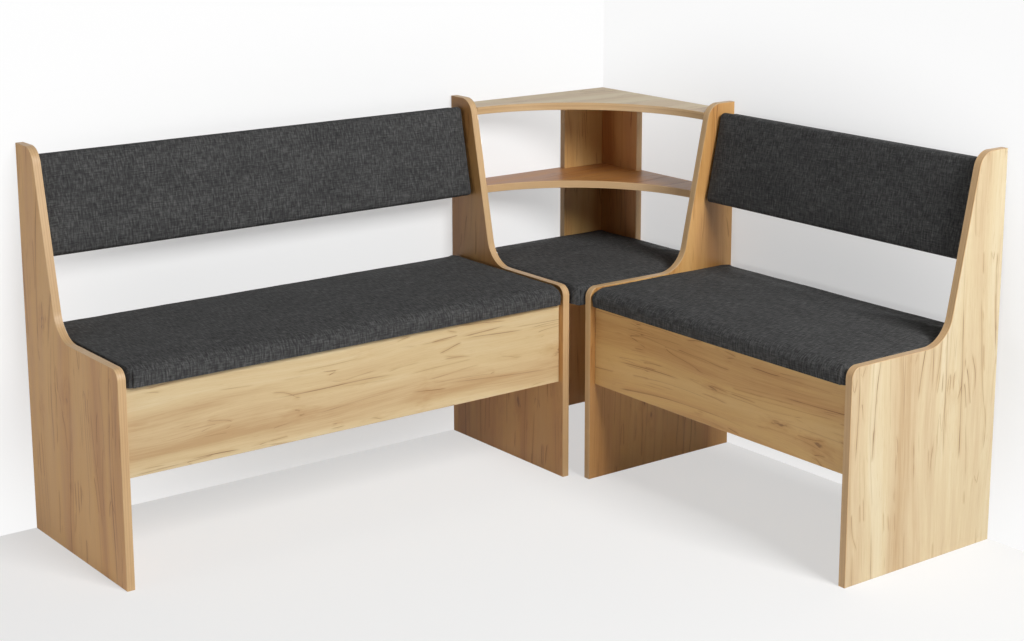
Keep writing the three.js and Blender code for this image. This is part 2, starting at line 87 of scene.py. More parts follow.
def add_node(tree, kind, given=None, **settings):
    """A short kind is that of a shader node; the others are given in full."""
    made = tree.nodes.new(kind if "Node" in kind else "ShaderNode" + kind)
    for field, value in settings.items():
        setattr(made, field, value)
    feed(tree, made, given or {})
    return made


def put(tree, kind, given=None, output=0, **settings):
    return add_node(tree, kind, given, **settings).outputs[output]


def maths(tree, operation, *values):
    return put(tree, "Math", dict(enumerate(values)), operation=operation)


def times(tree, first, second):
    return maths(tree, "MULTIPLY", first, second)


def plus(tree, first, second):
    return maths(tree, "ADD", first, second)


def minus(tree, first, second):
    return maths(tree, "SUBTRACT", first, second)


def vector_maths(tree, operation, first, second):
    return put(tree, "VectorMath", {0: first, 1: second}, operation=operation)


def new_material(name):
    material = bpy.data.materials.new(name)
    material.use_nodes = True
    return material, material.node_tree, material.node_tree.nodes["Principled BSDF"]


def seen_directly(tree):
    ray = add_node(tree, "LightPath").outputs
    seen = maths(tree, "MAXIMUM", ray["Is Camera Ray"], ray["Is Glossy Ray"])
    return maths(tree, "MAXIMUM", seen, ray["Is Transmission Ray"])


stage_middle = (0.0, 0.0, 0.45)
stage_squash = (1.0, 1.0, 1.7)
stage_paint = (0.84, 0.84, 0.84, 1)
white = (1, 1, 1, 1)


def stage_finish(name, near, far, near_lift, far_lift, is_one_sided):
    """Matt white that fades to plain white away from the benches."""
    material, tree, shader = new_material(name)
    tree.nodes.remove(shader)
    place = put(tree, "TexCoord", output="Object")
    offset = vector_maths(tree, "SUBTRACT", place, stage_middle)
    squashed = vector_maths(tree, "MULTIPLY", offset, stage_squash)
    distance = put(tree, "VectorMath", {0: squashed}, "Value", operation="LENGTH")
    lift = put(tree, "MapRange", {
        "Value": distance, "From Min": near, "From Max": far,
        "To Min": near_lift, "To Max": far_lift,
    }, interpolation_type="SMOOTHSTEP")
    painted = put(tree, "BsdfDiffuse", {"Color": stage_paint})
    lifted = put(tree, "Emission", {"Color": white, "Strength": 1.0})
    shown = put(tree, "MixShader", {
        0: times(tree, seen_directly(tree), lift), 1: painted, 2: lifted})
    if is_one_sided:
        front = minus(tree, 1.0, put(tree, "NewGeometry", output="Backfacing"))
        camera_ray = put(tree, "LightPath", output="Is Camera Ray")
        clear = put(tree, "BsdfTransparent")
        shown = put(tree, "MixShader", {0: times(tree, front, camera_ray), 1: clear, 2: shown})
    feed(tree, tree.nodes["Material Output"], {0: shown})
    return material


def add_stage(name, corners, material):
    mesh = new_mesh(name, corners, [(0, 1, 2, 3)])
    mesh.materials.append(material)
    place_object(name, mesh)


stage_reach = 30
wall_height = 4
long_wall = 0.653
short_wall = 0.798
wall_finish = stage_finish(
    "wall", near=0.75, far=1.35, near_lift=0.42, far_lift=0.93, is_one_sided=True)
floor_finish = stage_finish(
    "floor", near=1.0, far=3.2, near_lift=0.56, far_lift=0.92, is_one_sided=False)
add_stage("floor", [
    (-stage_reach, -stage_reach, 0), (stage_reach, -stage_reach, 0),
    (stage_reach, stage_reach, 0), (-stage_reach, stage_reach, 0)], floor_finish)
for name, start, stop in (
    ("wall_behind_long_bench", (-stage_reach, long_wall), (short_wall, long_wall)),
    ("wall_behind_short_bench", (short_wall, long_wall), (short_wall, -stage_reach)),
):
    add_stage(name, [
        (*start, 0), (*stop, 0), (*stop, wall_height), (*start, wall_height)], wall_finish)

world = bpy.data.worlds.new("surround")
world.use_nodes = True
bpy.context.scene.world = world
world_level = 0.08
ambient = put(world.node_tree, "Mix", {
    0: seen_directly(world.node_tree), 2: world_level, 3: 1.0}, data_type="FLOAT")
feed(world.node_tree, world.node_tree.nodes["Background"], {"Color": white, "Strength": ambient})


def add_lamp(name, place, target, size, power):
    lamp_data = bpy.data.lights.new(name, "AREA")
    lamp_data.shape = "RECTANGLE"
    lamp_data.size, lamp_data.size_y = size
    lamp_data.energy = power
    lamp = place_object(name, lamp_data)
    lamp.location = place
    lamp.rotation_euler = (Vector(target) - Vector(place)).to_track_quat("-Z", "Y").to_euler()


add_lamp("key_lamp", place=(0.4, -4.3, 3.5), target=(0, 0, 0.4), size=(2.0, 2.0), power=300)
add_lamp("side_lamp", place=(-6.0, 0.4, 0.7), target=(0, 0.1, 0.5), size=(1.2, 0.6), power=78)
add_lamp("rear_lamp", place=(4.6, 4.0, 0.22), target=(0, 0, 0.3), size=(2.4, 0.4), power=110)


# The four side panels: 18 mm chipboard faced with oak-print melamine, grain upright, with a
# tan edge band. The print has broad tone bands, fine fibres, dark splits and soft knots.
mm = 0.001
X, Y, Z = range(3)


def paint(red, green, blue):
    def linear(value):
        value /= 255
        return value / 12.92 if value <= 0.04045 else ((value + 0.055) / 1.055) ** 2.4
    return (linear(red), linear(green), linear(blue), 1)


def vector_of(tree, x, y, z):
    return put(tree, "CombineXYZ", {0: x, 1: y, 2: z})


def noise_of(tree, vector, stretch, detail=2.0):
    stretched = vector_maths(tree, "MULTIPLY", vector, stretch)
    return put(tree, "TexNoise", {"Vector": stretched, "Scale": 1.0, "Detail": detail})


def ease(tree, value, low, high):
    return put(tree, "MapRange", {
        "Value": value, "From Min": low, "From Max": high,
    }, interpolation_type="SMOOTHSTEP")


def tint(tree, amount, under, over, mode="MIX"):
    given = {0: amount, 6: under, 7: over}
    return put(tree, "Mix", given, 2, data_type="RGBA", blend_type=mode)


def ramp(tree, value, stops):
    made = add_node(tree, "ValToRGB", {0: value})
    elements = made.color_ramp.elements
    elements.remove(elements[1])
    elements[0].position, elements[0].color = stops[0]
    for position, colour in stops[1:]:
        elements.new(position).color = colour
    return made.outputs[0]


def weighted(tree, *parts):
    total = None
    for value, weight in parts:
        share = times(tree, value, weight)
        total = share if total is None else plus(tree, total, share)
    return total


def raised(tree, height, depth, strength):
    return put(tree, "Bump", {"Height": height, "Distance": depth, "Strength": strength})


def on_faces(tree, coordinates, through, least):
    """1 on the two faces of a board and 0 on its edges."""
    facing = add_node(tree, "SeparateXYZ", {0: coordinates["Normal"]}).outputs[through]
    return maths(tree, "GREATER_THAN", maths(tree, "ABSOLUTE", facing), least)


oak_pale = paint(216, 199, 168)
oak_light = paint(210, 189, 153)
oak_middle = paint(202, 177, 142)
oak_brown = paint(188, 158, 120)
split_brown = paint(112, 78, 46)
halo_brown = paint(176, 138, 94)
band_light = paint(202, 168, 124)
band_dark = paint(186, 150, 106)
sheet_step = 3.17
grain_wander = 0.10
slope_step = 1.5 * mm
least_slope = 0.0015
knot_rarity = 0.58


def oak_finish(name, grain, through, seed, light_and_shade_tint):
    """grain and through are the axes along the grain and through the board; the last argument is a
    tint that paints the board's light and shade into the print, darker and warmer in shade."""
    material, tree, surface = new_material(name)
    coordinates = add_node(tree, "TexCoord").outputs
    place = add_node(tree, "SeparateXYZ", {0: coordinates["Object"]}).outputs
    across = 3 - grain - through
    layer = seed * sheet_step
    flat = vector_of(tree, place[grain], place[across], layer)
    drift = minus(tree, noise_of(tree, flat, (1.3, 5.0, 1), 1.0), 0.5)
    bent = plus(tree, place[across], times(tree, drift, grain_wander))
    wood = vector_of(tree, place[grain], bent, layer)
    beside = vector_maths(tree, "ADD", wood, (0, slope_step, 0))

    plank = noise_of(tree, wood, (0.35, 12, 1), 1.0)
    flame = noise_of(tree, wood, (3.2, 46, 1), 4.0)
    fibre = noise_of(tree, wood, (9, 420, 1))
    tone = weighted(tree, (plank, 0.55), (flame, 0.30), (fibre, 0.15))
    colour = ramp(tree, tone, [
        (0.36, oak_brown), (0.44, oak_middle), (0.52, oak_light), (0.62, oak_pale),
    ])

    def splits(stretch, width, low, high):
        """Long lines of even width along the contours of a stretched noise, and their halos."""
        here = noise_of(tree, wood, stretch, 1.5)
        slope = maths(tree, "ABSOLUTE", minus(tree, noise_of(tree, beside, stretch, 1.5), here))
        away = maths(tree, "DIVIDE", maths(tree, "ABSOLUTE", minus(tree, here, 0.5)),
                     plus(tree, slope, least_slope))
        patch = noise_of(tree, wood, (stretch[0] * 3.4, stretch[1] * 0.6, 2.7), 1.0)
        where = times(tree, ease(tree, patch, low, high), ease(tree, slope, 0.0025, 0.0065))
        line = ease(tree, away, width, width * 0.15)
        halo = ease(tree, away, width * 7, 0.0)
        return times(tree, line, where), times(tree, halo, where)

    strong = ease(tree, noise_of(tree, wood, (11, 17, 1)), 0.42, 0.62)
    lines = []
    for halo_share, *shape in (  # the shape is the stretch, the width and the patches' limits
        (0.30, (1.0, 13, 1), 0.80, 0.47, 0.57),
        (0.30, (3.4, 25, 1), 0.62, 0.52, 0.60),
        (0.16, (1.7, 29, 1), 0.45, 0.48, 0.56),
    ):
        line, halo = splits(*shape)
        lines.append(line)
        colour = tint(tree, times(tree, halo, halo_share), colour, halo_brown)
    deep = maths(tree, "MAXIMUM", lines[0], lines[1])
    split = times(tree, deep, plus(tree, times(tree, strong, 0.45), 0.38))
    hair = times(tree, lines[2], plus(tree, times(tree, strong, 0.30), 0.22))
    colour = tint(tree, maths(tree, "MAXIMUM", split, hair), colour, split_brown)

    ragged = times(tree, minus(tree, noise_of(tree, wood, (40, 120, 1)), 0.5), 0.5)
    knots = add_node(tree, "TexVoronoi", {
        "Vector": vector_maths(tree, "MULTIPLY", wood, (5.5, 13, 1)), "Scale": 1.0}).outputs
    lot = put(tree, "SeparateColor", {0: knots["Color"]})
    rare = maths(tree, "GREATER_THAN", lot, knot_rarity)
    ringed = plus(tree, knots["Distance"], ragged)
    smudge = times(tree, ease(tree, ringed, 0.36, 0.0), rare)
    eye = times(tree, ease(tree, ringed, 0.10, 0.02), rare)
    pores = ease(tree, noise_of(tree, wood, (38, 820, 1), 0.0), 0.66, 0.74)
    for mark, share, brown in (
        (smudge, 0.42, halo_brown), (eye, 0.62, split_brown), (pores, 0.16, halo_brown),
    ):
        colour = tint(tree, times(tree, mark, share), colour, brown)

    thin = vector_of(tree, place[through], layer, 0.0)
    band_lines = noise_of(tree, thin, (650, 1, 1))
    slow = noise_of(tree, coordinates["Object"], (5, 5, 5), 1.0)
    band = ramp(tree, weighted(tree, (band_lines, 0.7), (slow, 0.3)), [
        (0.40, band_dark), (0.58, band_light)])
    # The board's tint multiplies the print and paints the board's light and shade into its colour.
    light_and_shade_tinted = tint(tree, 1.0, colour, (*light_and_shade_tint, 1), "MULTIPLY")
    dullness = weighted(tree, (flame, 0.25), (split, 0.2), (fibre, 0.2))
    relief = weighted(tree, (fibre, 0.5), (flame, 0.3), (split, -0.9), (pores, -0.4))
    feed(tree, surface, {
        "Base Color": tint(tree, on_faces(tree, coordinates, through, 0.9), band, light_and_shade_tinted),
        "Roughness": plus(tree, dullness, 0.20),
        "Normal": raised(tree, relief, 0.25 * mm, 0.6)})
    return material


def finish_node(name, material):
    for slot in nodes[name].material_slots:
        slot.material = material


def face_with_oak(first_seed, *boards):
    """Each board is its node, the axes along its grain and through it, and the tint that paints its
    light and shade.
    """
    for seed, (node, grain, through, tone) in enumerate(boards, first_seed):
        name = "oak_" + node.removesuffix("_board")
        finish_node(node, oak_finish(name, grain, through, seed, tone))


# These tints paint light and shade into the oak print, board by board: pale and bone for boards
# facing the light, straw, amber and golden, darker and warmer in turn, for boards in part shade,
# tawny and russet for boards in deep shade.
pale = (1.0, 1.0, 0.97)
bone = (0.92, 0.94, 0.92)
straw = (0.91, 0.87, 0.76)
amber = (0.92, 0.71, 0.42)
golden = (0.92, 0.64, 0.34)
tawny = (0.84, 0.55, 0.28)
russet = (0.70, 0.41, 0.20)
# Painted shade in the tints: golden on the long outer side, which faces away from the key lamp, and
# on the short inner side, tawny on the long inner side in deep shade, bone on the short outer side,
# which faces the light.
face_with_oak(
    1, ("long_outer_side", Z, X, golden), ("long_inner_side", Z, X, tawny),
    ("short_outer_side", Z, Y, bone), ("short_inner_side", Z, Y, golden))


# The two aprons, the fronts of the storage boxes: the same board with its grain lengthwise.
# Cam discs on the inside pull each of them to its two side panels, so nothing shows outside.
# Painted shade in the tints: straw on the long apron under the seat's overhang, amber on the short
# apron, which faces away from the key lamp.
face_with_oak(5, ("long_apron", X, Y, straw), ("short_apron", Y, X, amber))


# The storage boxes behind the aprons: a back and a bottom of thinner board in the same print.
# The bottom lies on battens, and the back carries the fixed leaf of the hinge.
# These hidden boards reuse the straw tint, the painted part shade of the long apron.
face_with_oak(
    7, ("long_box_back", X, Y, straw), ("short_box_back", Y, X, straw),
    ("long_box_bottom", X, Z, straw), ("short_box_bottom", Y, Z, straw))


# The battens that carry the box bottoms and the corner seat: planed pine, screwed to the side
# panels, with straight growth rings along the length and a small knot here and there.
stick_step = 0.53


def softwood_finish(name, grain, seed):
    material, tree, surface = new_material(name)
    place = add_node(tree, "SeparateXYZ", {0: put(tree, "TexCoord", output="Object")}).outputs
    first, second = [axis for axis in (X, Y, Z) if axis != grain]
    stick = vector_of(tree, place[grain], place[first], place[second])
    moved = vector_maths(tree, "ADD", stick, (seed * stick_step, 0, 0))
    rings = noise_of(tree, moved, (2.2, 190, 150), 1.0)
    fibre = noise_of(tree, moved, (18, 900, 900))
    colour = ramp(tree, weighted(tree, (rings, 0.8), (fibre, 0.2)), [
        (0.36, paint(196, 148, 92)), (0.47, paint(221, 183, 128)), (0.62, paint(234, 205, 158)),
    ])
    knots = put(tree, "TexVoronoi", {"Vector": moved, "Scale": 21.0}, "Distance")
    relief = weighted(tree, (rings, 0.6), (fibre, 0.4))
    feed(tree, surface, {
        "Base Color": tint(tree, ease(tree, knots, 0.13, 0.03), colour, paint(132, 84, 46)),
        "Roughness": plus(tree, times(tree, rings, 0.3), 0.45),
        "Normal": raised(tree, relief, 0.3 * mm, 0.5)})
    return material


for seed, (node, grain) in enumerate((
    ("long_bottom_batten_outer", Y), ("long_bottom_batten_inner", Y),
    ("short_bottom_batten_outer", X), ("short_bottom_batten_inner", X),
    ("corner_batten_long_side", Y), ("corner_batten_short_side", X),
), 1):
    pine = "pine_" + node.replace("_bottom", "").replace("_batten", "")
    finish_node(node, softwood_finish(pine, grain, seed))


# The cam discs that pull the aprons to the side panels: die-cast zinc, dull and slightly pitted.
# Each lies in a bore on the inner face of the apron.
cast_zinc, tree, surface = new_material("cast_zinc")
place = put(tree, "TexCoord", output="Object")
grain = noise_of(tree, place, (900, 900, 900), 3.0)
cloud = noise_of(tree, place, (160, 160, 160))
colour = ramp(tree, weighted(tree, (grain, 0.5), (cloud, 0.5)), [
    (0.38, paint(128, 130, 134)), (0.62, paint(176, 178, 181)),
])
feed(tree, surface, {
    "Base Color": colour, "Metallic": 0.9,
    "Roughness": plus(tree, times(tree, cloud, 0.35), 0.35),
    "Normal": raised(tree, grain, 0.1 * mm, 0.5)})
for bench in ("long", "short"):
    for end in ("outer", "inner"):
        for level in ("lower", "upper"):
            finish_node(f"{bench}_apron_cam_{end}_{level}", cast_zinc)


# The piano hinges under the rear of the seats: two interleaved leaves of rolled steel strip on
# one long pin, bright zinc plated, with a faint spangle and fine scratches.
plated_steel, tree, surface = new_material("zinc_plated_steel")
place = put(tree, "TexCoord", output="Object")
cloud = noise_of(tree, place, (45, 45, 45), 3.0)
scratch = noise_of(tree, place, (60, 60, 1400))
spangle = put(tree, "TexVoronoi", {"Vector": place, "Scale": 260.0}, "Color")
shine = put(tree, "SeparateColor", {0: spangle})
colour = ramp(tree, weighted(tree, (cloud, 0.6), (shine, 0.15), (scratch, 0.25)), [
    (0.30, paint(168, 172, 178)), (0.55, paint(198, 201, 205)), (0.75, paint(220, 220, 214)),
])
dull = weighted(tree, (cloud, 0.30), (shine, 0.10), (scratch, 0.15))
feed(tree, surface, {
    "Base Color": colour, "Metallic": 1.0, "Roughness": plus(tree, dull, 0.12),
    "Normal": raised(tree, scratch, 0.05 * mm, 0.4)})
for bench in ("long", "short"):
    for part in ("moving_leaf", "fixed_leaf", "pin"):
        finish_node(f"{bench}_hinge_{part}", plated_steel)


# The screws of the hinges: one in each hole of a leaf, with a low raised head and a cross
# recess, from below into the seat board and from behind into the back of the box.
def small_part_tree(name, sizes):
    """An empty tree with its sizes, a direction and a finish as inputs."""
    tree = bpy.data.node_groups.new(name, "GeometryNodeTree")
    tree.interface.new_socket("Geometry", in_out="OUTPUT", socket_type="NodeSocketGeometry")
    kinds = {"Geometry": "Geometry"} | dict.fromkeys(sizes, "Float")
    for socket, kind in (kinds | {"Direction": "Vector", "Finish": "Material"}).items():
        tree.interface.new_socket(socket, in_out="INPUT", socket_type="NodeSocket" + kind)
    return tree, tree.nodes.new("NodeGroupInput").outputs


turn_seed = 7


def spread(tree, inside, part, least_turn, most_turn):
    """Puts the part on every point, aimed and then turned a little at random on its own axis."""
    turn = put(tree, "FunctionNodeRandomValue", {
        2: least_turn, 3: most_turn, "Seed": turn_seed}, 1, data_type="FLOAT")
    turned = put(tree, "FunctionNodeAxisAngleToRotation", {"Axis": (0, 0, 1), "Angle": turn})
    aimed = put(tree, "FunctionNodeEulerToRotation", {0: inside["Direction"]})
    rotation = put(tree, "FunctionNodeRotateRotation", {
        0: aimed, 1: turned}, rotation_space="LOCAL")
    spots = put(tree, "GeometryNodeMeshToPoints", {"Mesh": inside["Geometry"]})
    placed = put(tree, "GeometryNodeInstanceOnPoints", {
        "Points": spots, "Instance": part, "Rotation": rotation})
    real = put(tree, "GeometryNodeRealizeInstances", {0: placed})
    coated = put(tree, "GeometryNodeSetMaterial", {"Geometry": real, "Material": inside["Finish"]})
    feed(tree, tree.nodes.new("NodeGroupOutput"), {0: coated})


recess_reach = 1.15
screws, inside = small_part_tree("screws", (
    "Head radius", "Head height", "Recess width", "Shank radius", "Shank length"))
radius, height, recess = inside["Head radius"], inside["Head height"], inside["Recess width"]
ball = put(screws, "GeometryNodeMeshUVSphere", {"Segments": 20, "Rings": 10, "Radius": 1.0})
head = put(screws, "GeometryNodeTransform", {
    "Geometry": ball, "Scale": vector_of(screws, radius, radius, height)})
arm = times(screws, radius, recess_reach)
recesses = []
for size in (vector_of(screws, arm, recess, height), vector_of(screws, recess, arm, height)):
    cube = put(screws, "GeometryNodeMeshCube", {"Size": size})
    recesses.append(put(screws, "GeometryNodeTransform", {
        "Geometry": cube, "Translation": vector_of(screws, 0.0, 0.0, height)}))
cut = put(screws, "GeometryNodeMeshBoolean", {"Mesh 1": head, "Mesh 2": recesses},
          operation="DIFFERENCE", solver="MANIFOLD")
rod = put(screws, "GeometryNodeMeshCylinder", {
    "Vertices": 12, "Radius": inside["Shank radius"], "Depth": inside["Shank length"]})
below = vector_of(screws, 0.0, 0.0, times(screws, inside["Shank length"], -0.5))
shank = put(screws, "GeometryNodeTransform", {"Geometry": rod, "Translation": below})
screw = put(screws, "GeometryNodeMeshBoolean", {"Mesh 2": [cut, shank]},
            operation="UNION", solver="MANIFOLD")
spread(screws, inside, screw, 0.0, math.pi)

weld_distance = 0.004 * mm
hard_edge = math.radians(50)


def opened(mesh):
    shell = bmesh.new()
    shell.from_mesh(mesh)
    return shell


def finished(shell, mesh):
    """Welds the mesh, turns its faces out and shades it smooth between its hard edges."""
    bmesh.ops.remove_doubles(shell, verts=shell.verts, dist=weld_distance)
    bmesh.ops.recalc_face_normals(shell, faces=shell.faces)
    if shell.calc_volume(signed=True) < 0:
        bmesh.ops.reverse_faces(shell, faces=shell.faces)
    for face in shell.faces:
        face.smooth = True
        face.material_index = 0
    for edge in shell.edges:
        edge.smooth = edge.calc_face_angle() < hard_edge
    shell.to_mesh(mesh)
    shell.free()


def evaluated_mesh(piece):
    """A new mesh, as the piece's modifiers make it."""
    graph = bpy.context.evaluated_depsgraph_get()
    return bpy.data.meshes.new_from_object(piece.evaluated_get(graph), depsgraph=graph)


def dress(mesh, material):
    mesh.materials.clear()
    mesh.materials.append(material)


def grown(name, tree, points, values):
    """One plain mesh that a tree makes on the given points."""
    carrier = place_object(name, new_mesh(name, points))
    modifier = carrier.modifiers.new("made", "NODES")
    modifier.node_group = tree
    for item in tree.interface.items_tree:
        if item.in_out == "INPUT" and item.name in values:
            modifier[item.identifier] = values[item.name]
    bpy.context.view_layer.update()
    made = evaluated_mesh(carrier)
    bpy.data.objects.remove(carrier)
    shell = opened(made)
    dress(made, values["Finish"])
    finished(shell, made)
    made.name = name
    return made


def new_piece(name, mesh, body):
    piece = place_object(name, mesh)
    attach(piece, body)


def fasteners(name, tree, rows, values, body):
    """One piece made of small parts, in rows that each have a direction of their own."""
    whole = bmesh.new()
    for spots, direction in rows:
        whole.from_mesh(grown(name, tree, spots, values | {"Direction": direction}))
    made = new_mesh(name, ())
    whole.to_mesh(made)
    whole.free()
    made.materials.append(values["Finish"])
    new_piece(name, made, body)


def aim(outward, lengthwise=None):
    """The turn that points a small part's own Z outwards and its own X lengthwise."""
    side = lengthwise if lengthwise is not None else outward.orthogonal()
    columns = (side.normalized(), outward.cross(side).normalized(), outward.normalized())
    return tuple(Matrix(columns).transposed().to_euler())


corner = Vector((795 * mm, 650 * mm, 0))


def on_long(along, depth, height):
    """A point by its distance from the corner along the long wall, from that wall and from the
    floor; on_short gives the same along the short wall."""
    return Vector((corner.x - along, corner.y - depth, height))


def on_short(along, depth, height):
    return Vector((corner.x - depth, corner.y - along, height))


benches = {"long": on_long, "short": on_short}
hinge_pitch = 60 * mm
hinge_hole_reach = 18 * mm
hinge_axis_depth = 63.25 * mm
hinge_axis_height = 413.55 * mm
moving_leaf_underside = 415.0 * mm
fixed_leaf_rear = 64.7 * mm
hinge_screw = {
    "Head radius": 3.1 * mm, "Head height": 0.7 * mm, "Recess width": 0.75 * mm,
    "Shank radius": 1.4 * mm, "Shank length": 12 * mm, "Finish": plated_steel,
}


def reach_of(bench, node):
    """The least and greatest distance of a node from the corner, along its bench and from
    its wall."""
    low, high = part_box(node)
    order = (X, Y) if bench == "long" else (Y, X)
    return [(corner[axis] - high[axis], corner[axis] - low[axis]) for axis in order]


for bench, at in benches.items():
    start, stop = reach_of(bench, f"{bench}_hinge_pin")[0]
    count = round((stop - start - hinge_pitch / 2) / hinge_pitch) + 1
    first = (start + stop) / 2 - (count - 1) / 2 * hinge_pitch
    holes = [first + index * hinge_pitch for index in range(count)]
    seat_holes = hinge_axis_depth - hinge_hole_reach
    box_holes = hinge_axis_height - hinge_hole_reach
    under = [at(hole, seat_holes, moving_leaf_underside) for hole in holes]
    behind = [at(hole, fixed_leaf_rear, box_holes) for hole in holes]
    for piece_name, spots, outward, body in (
        (f"{bench}_seat_hinge_screws", under, Vector((0, 0, -1)), f"{bench}_seat"),
        (f"{bench}_box_hinge_screws", behind, at(0, -1, 0) - at(0, 0, 0), "frame"),
    ):
        mesh = grown(piece_name, screws, spots, hinge_screw | {"Direction": aim(outward)})
        new_piece(piece_name, mesh, body)


# The boards inside the seats and backrests: bare particle board, with fine chips on the faces
# and coarse ones at the sawn edges.
def particle_finish(name, through, seed):
    material, tree, surface = new_material(name)
    coordinates = add_node(tree, "TexCoord").outputs
    moved = vector_maths(tree, "ADD", coordinates["Object"], (seed, seed, seed))
    stretched = vector_maths(tree, "MULTIPLY", moved, (1, 0.6, 1))
    colours = []
    heights = []
    for size in (260, 620):
        chips = put(tree, "TexVoronoi", {"Vector": stretched, "Scale": float(size)}, "Color")
        shade = put(tree, "SeparateColor", {0: chips})
        speck = noise_of(tree, moved, (size * 2, size * 2, size * 2))
        heights.append(weighted(tree, (shade, 0.6), (speck, 0.4)))
        colours.append(ramp(tree, heights[-1], [
            (0.15, paint(126, 92, 58)), (0.45, paint(178, 141, 98)), (0.80, paint(212, 180, 134)),
        ]))
    feed(tree, surface, {
        "Base Color": tint(tree, on_faces(tree, coordinates, through, 0.8), *colours),
        "Roughness": plus(tree, times(tree, heights[1], 0.2), 0.7),
        "Normal": raised(tree, heights[0], 0.3 * mm, 0.5)})
    return material


for node, through, seed in (
    ("long_seat_board", Z, 0.0), ("short_seat_board", Z, 1.7), ("long_back_board", Y, 3.1),
    ("short_back_board", X, 4.9), ("corner_seat_board", Z, 6.3),
):
    finish_node(node, particle_finish("particle_" + node.removesuffix("_board"), through, seed))


# The seat cushions: firm foam under a graphite linen-look cover that is pulled round the board
# and folded at the front corners. The filling is a cloth simulation on a shaped shell.
thread_dark = paint(40, 40, 41)
thread_base = paint(66, 66, 66)
thread_light = paint(102, 102, 101)
weave_pitch = 1.1 * mm


def fabric_finish(name, along, around):
    """Threads run along one axis and, over the edges, along the sum of the other two."""
    material, tree, surface = new_material(name)
    place = add_node(tree, "SeparateXYZ", {0: put(tree, "TexCoord", output="Object")}).outputs
    round_edge = plus(tree, place[around], place[Z])
    cloth = vector_of(tree, place[along], round_edge, 0.0)
    upright = noise_of(tree, cloth, (1000, 55, 1))
    level = noise_of(tree, cloth, (55, 1000, 1))
    slub = noise_of(tree, cloth, (260, 48, 1))
    long_slub = noise_of(tree, cloth, (34, 300, 1))
    patch = noise_of(tree, cloth, (9, 14, 1), 3.0)
    tone = weighted(
        tree, (upright, 0.24), (level, 0.22), (slub, 0.28), (long_slub, 0.18), (patch, 0.08))
    colour = ramp(tree, tone, [(0.38, thread_dark), (0.50, thread_base), (0.64, thread_light)])
    knots = times(tree, *(
        maths(tree, "SINE", times(tree, distance, 2 * math.pi / weave_pitch))
        for distance in (place[along], round_edge)))
    relief = weighted(tree, (knots, 0.25), (upright, 0.6), (level, 0.5), (slub, 0.6))
    feed(tree, surface, {
        "Base Color": colour, "Roughness": 0.85, "Specular IOR Level": 0.06,
        "Sheen Weight": 0.02, "Sheen Roughness": 0.5,
        "Normal": raised(tree, relief, 0.5 * mm, 0.7)})
    return material


graphite = {
    "long": fabric_finish("graphite_long", X, Y), "short": fabric_finish("graphite_short", Y, X)}
corner_share = 0.9
edge_stations = [step * mm for step in (0, 1.6, 3.6, 6.2, 9.2, 12.8, 17, 21.6)]


def stations(low, high, corner_radius, spacing):
    """Where a pad's points lie along one axis: close together at the ends."""
    near = [step for step in edge_stations if step < corner_radius * corner_share]
    near.append(corner_radius)
    straight = high - low - 2 * corner_radius
    count = max(2, round(straight / spacing))
    middle = [low + corner_radius + straight * step / count for step in range(1, count)]
    return [low + step for step in near] + middle + [high - step for step in reversed(near)]


def rolled(distance, nose, nose_height):
    """How far the surface lies under the top, at a distance inside the edge."""
    if distance >= nose:
        return 0.0
    return nose_height * (1 - math.sqrt(max(0.0, 1 - (1 - distance / nose) ** 2)))


side_levels = (0.62, 0.28, 0.0)


def turned_on(ring):
    return ring[1:] + ring[:1]


def neighbours(ring):
    """Each member of a closed ring, between the one before it and the one after it."""
    return zip(ring[-1:] + ring[:-1], ring, turned_on(ring))


def pad_shell(low, high, radius, noses, height, nose_height, crown, spacing, square):
    """Points and faces of a closed pad in its own axes: across, deep and high.
    noses gives the roll at the low and high end of each axis. The bottom is one face.
    square pulls the corners at the low and high end across from round (0) to sharp (1)."""
    across = stations(low[0], high[0], radius, spacing)
    deep = stations(low[1], high[1], radius, spacing)
    middle = [(start + stop) / 2 for start, stop in zip(low, high)]
    half = [(stop - start) / 2 for start, stop in zip(low, high)]

    def nearest_end(value, axis):
        end = int(value > middle[axis])
        gap = high[axis] - value if end else value - low[axis]
        return gap, noses[axis][end], 2 * end - 1

    def top_point(a, b):
        (gap_a, nose_a, sign_a), (gap_b, nose_b, sign_b) = nearest_end(a, 0), nearest_end(b, 1)
        if gap_a < radius and gap_b < radius:
            p, q = radius - gap_a, radius - gap_b
            reach = max(p, q)
            turn = math.pi / 4 * (q / p if p >= q else 2 - p / q)
            share = turn / (math.pi / 2)
            sharp = square[1 if sign_a > 0 else 0]
            out_a = reach * math.cos(turn) * (1 - sharp) + p * sharp
            out_b = reach * math.sin(turn) * (1 - sharp) + q * sharp
            a = middle[0] + sign_a * (half[0] - radius + out_a)
            b = middle[1] + sign_b * (half[1] - radius + out_b)
            drop = rolled(radius - reach, nose_a + (nose_b - nose_a) * share, nose_height)
        else:
            drop = math.hypot(
                rolled(gap_a, nose_a, nose_height), rolled(gap_b, nose_b, nose_height))
        swell = (1 - ((a - middle[0]) / half[0]) ** 4) * (1 - ((b - middle[1]) / half[1]) ** 4)
        return a, b, height - min(drop, nose_height) + crown * max(0.0, swell)

    points = [top_point(a, b) for a in across for b in deep]
    rows = len(deep)
    last = len(across) - 1
    faces = [
        (i * rows + j, (i + 1) * rows + j, (i + 1) * rows + j + 1, i * rows + j + 1)
        for i in range(last) for j in range(rows - 1)
    ]
    rim = (
        [(i, 0) for i in range(last)] + [(last, j) for j in range(rows - 1)]
        + [(i, rows - 1) for i in range(last, 0, -1)] + [(0, j) for j in range(rows - 1, 0, -1)]
    )
    upper = [i * rows + j for i, j in rim]
    edge = [points[index][:2] for index in upper]
    for level in side_levels:
        lower = list(range(len(points), len(points) + len(upper)))
        points += [(a, b, (height - nose_height) * level) for a, b in edge]
        faces += zip(upper, lower, turned_on(lower), turned_on(upper))
        upper = lower
    faces.append(tuple(upper))
    return points, faces, len(points) - len(upper)


fill_frames = 20


